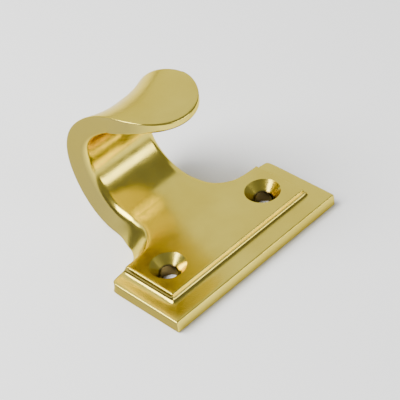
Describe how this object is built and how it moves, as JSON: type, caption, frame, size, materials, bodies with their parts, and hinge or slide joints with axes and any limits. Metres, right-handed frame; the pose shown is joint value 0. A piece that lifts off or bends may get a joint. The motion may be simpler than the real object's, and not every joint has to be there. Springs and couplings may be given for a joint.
{
  "type": "hook sash lift",
  "caption": "Cast hook lift for a sliding sash: a stepped rectangular plate with countersunk screw holes and a curled finger hook with a rounded lip.",
  "frame": {"origin": "the middle of the two screw holes, on the flat back of the plate", "axes": "+X along the plate, +Y from the plate's straight edge towards the hook, +Z out of the sash rail, through the plate"},
  "size_m": [0.05, 0.0466, 0.034],
  "materials": {
    "polished_brass": "polished"
  },
  "bodies": {
    "root": {"sash_lift": "polished_brass"}
  },
  "joints": []
}
